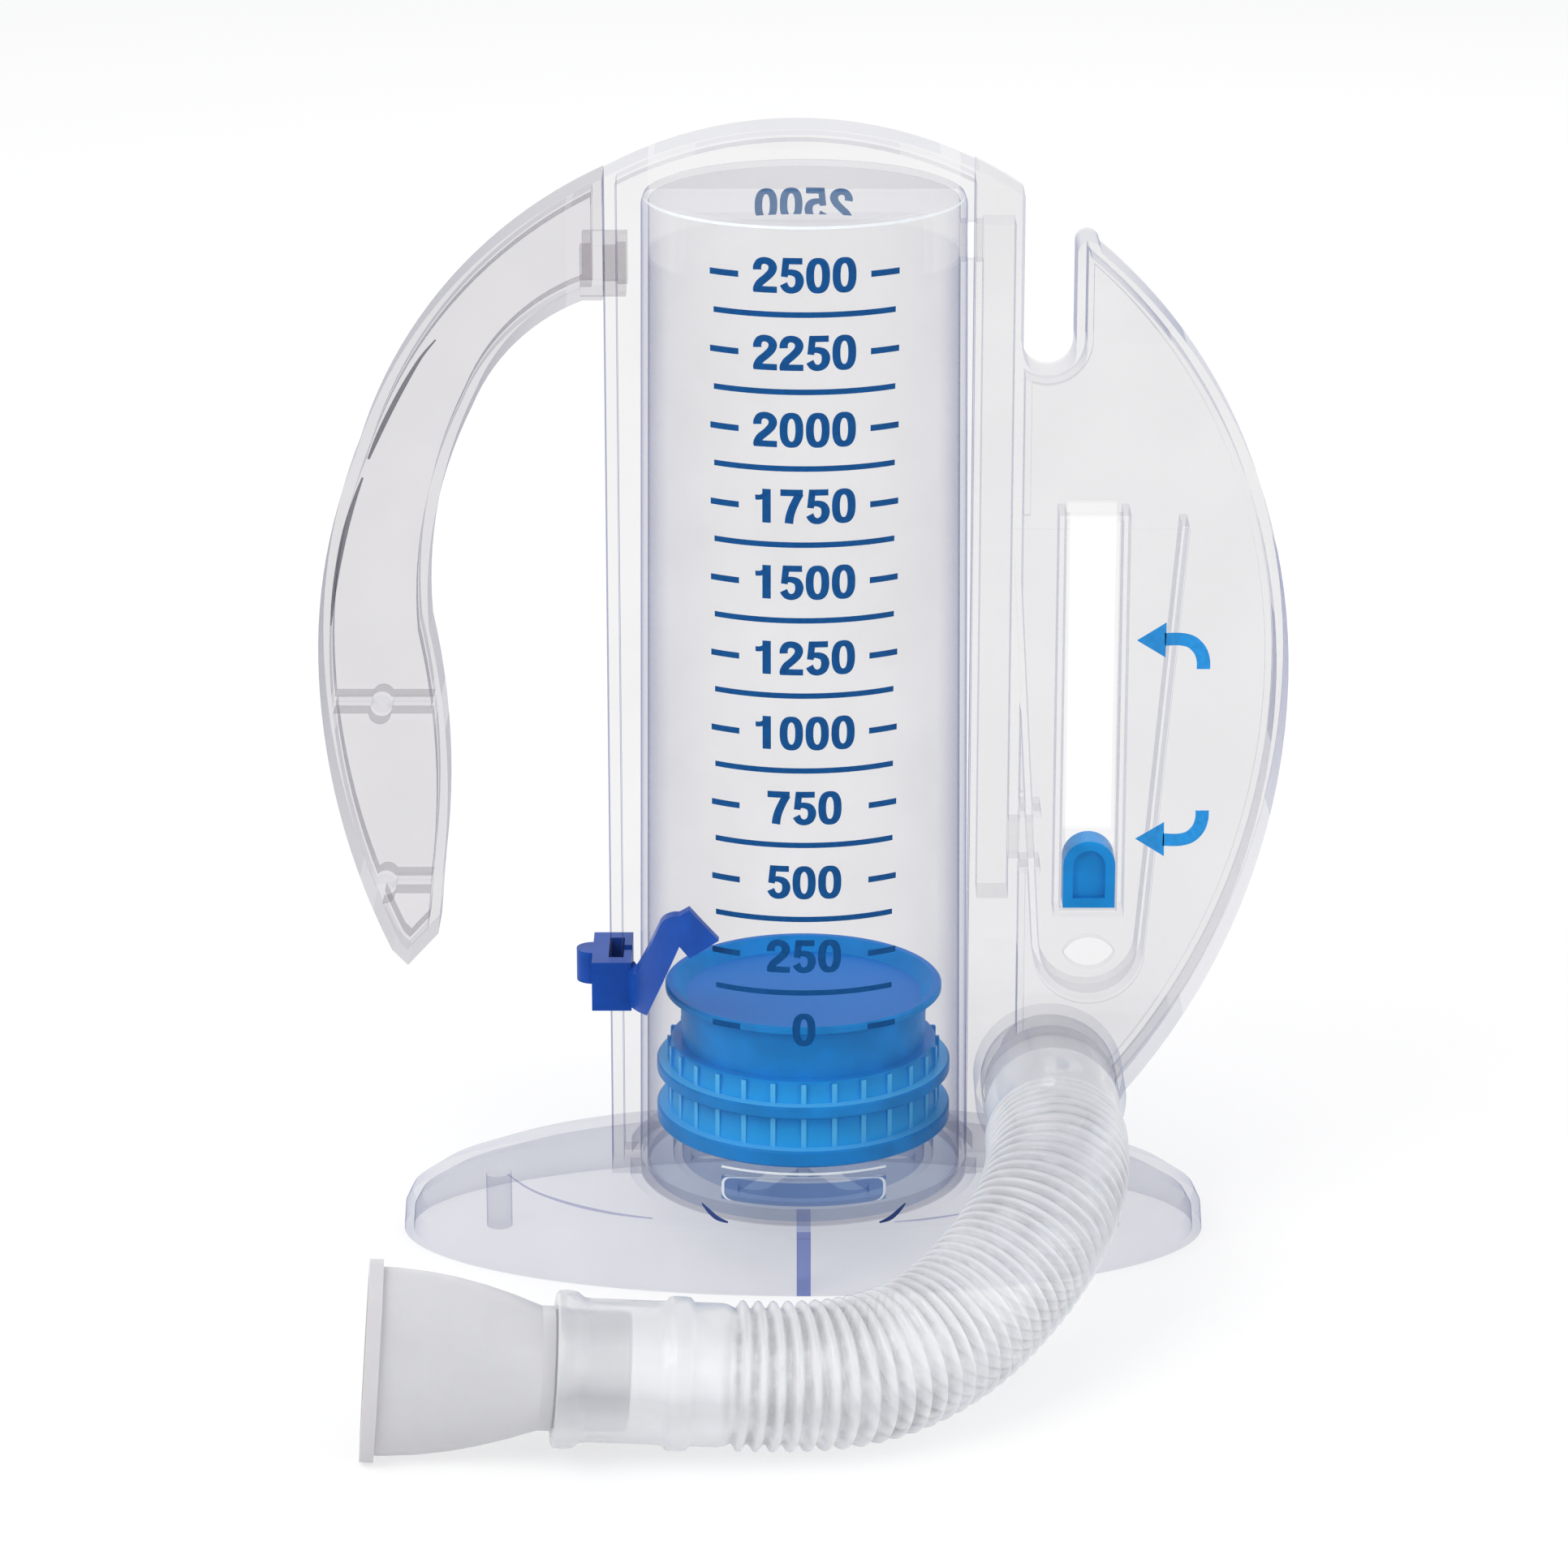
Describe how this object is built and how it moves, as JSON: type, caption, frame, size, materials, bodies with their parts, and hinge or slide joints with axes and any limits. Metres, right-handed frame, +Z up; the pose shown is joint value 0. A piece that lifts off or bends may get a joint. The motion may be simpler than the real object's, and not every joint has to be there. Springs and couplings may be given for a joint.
{
  "type": "incentive spirometer",
  "caption": "Volumetric breathing trainer: clear graduated cylinder with a loose blue piston, flow float, sliding goal pointer, handle, oval base and corrugated hose with a mouthpiece.",
  "frame": {"origin": "On the ground, on the axis of the measuring cylinder, the middle of the object's footprint without its hose.", "axes": "+X to the right when the scale faces the viewer, +Y away from the viewer, +Z up along the cylinder."},
  "size_m": [0.1908, 0.1624, 0.228],
  "materials": {
    "clear_plastic": "clear moulded styrene, polished, with a cool tint at its edges",
    "piston_blue": "mid blue moulded plastic, slightly translucent",
    "float_blue": "bright blue moulded plastic",
    "pointer_blue": "deep blue moulded plastic",
    "valve_silicone": "thin translucent silicone",
    "hose_plastic": "translucent corrugated polyethylene",
    "frosted_plastic": "frosted white polyethylene"
  },
  "bodies": {
    "stand": {"housing": "clear_plastic", "rear_cover": "clear_plastic", "handle": "clear_plastic", "base": "clear_plastic", "chamber_floor": "clear_plastic", "hose_port": "clear_plastic", "valve_seat": "clear_plastic", "valve_flap": "valve_silicone", "hose_cuff_port": "hose_plastic", "hose": "hose_plastic", "hose_cuff_mouth": "hose_plastic"},
    "piston": {"piston_cage": "piston_blue", "piston_crown": "piston_blue"},
    "flow_indicator": {"flow_float": "float_blue"},
    "pointer": {"goal_pointer": "pointer_blue"},
    "mouth": {"mouthpiece": "frosted_plastic"}
  },
  "joints": [
    {"name": "piston_slide", "type": "slide", "parent": "stand", "child": "piston", "axis": [0, 0, 1], "range_m": [0, 0.157]},
    {"name": "float_slide", "type": "slide", "parent": "stand", "child": "flow_indicator", "axis": [0, 0, 1], "range_m": [0, 0.0655]},
    {"name": "pointer_slide", "type": "slide", "parent": "stand", "child": "pointer", "axis": [0, 0, 1], "range_m": [-0.0275, 0.1285]},
    {"name": "mouthpiece_pull", "type": "slide", "parent": "stand", "child": "mouth", "axis": [-0.9949, -0.0686, 0.0741], "range_m": [0, 0.03]}
  ]
}
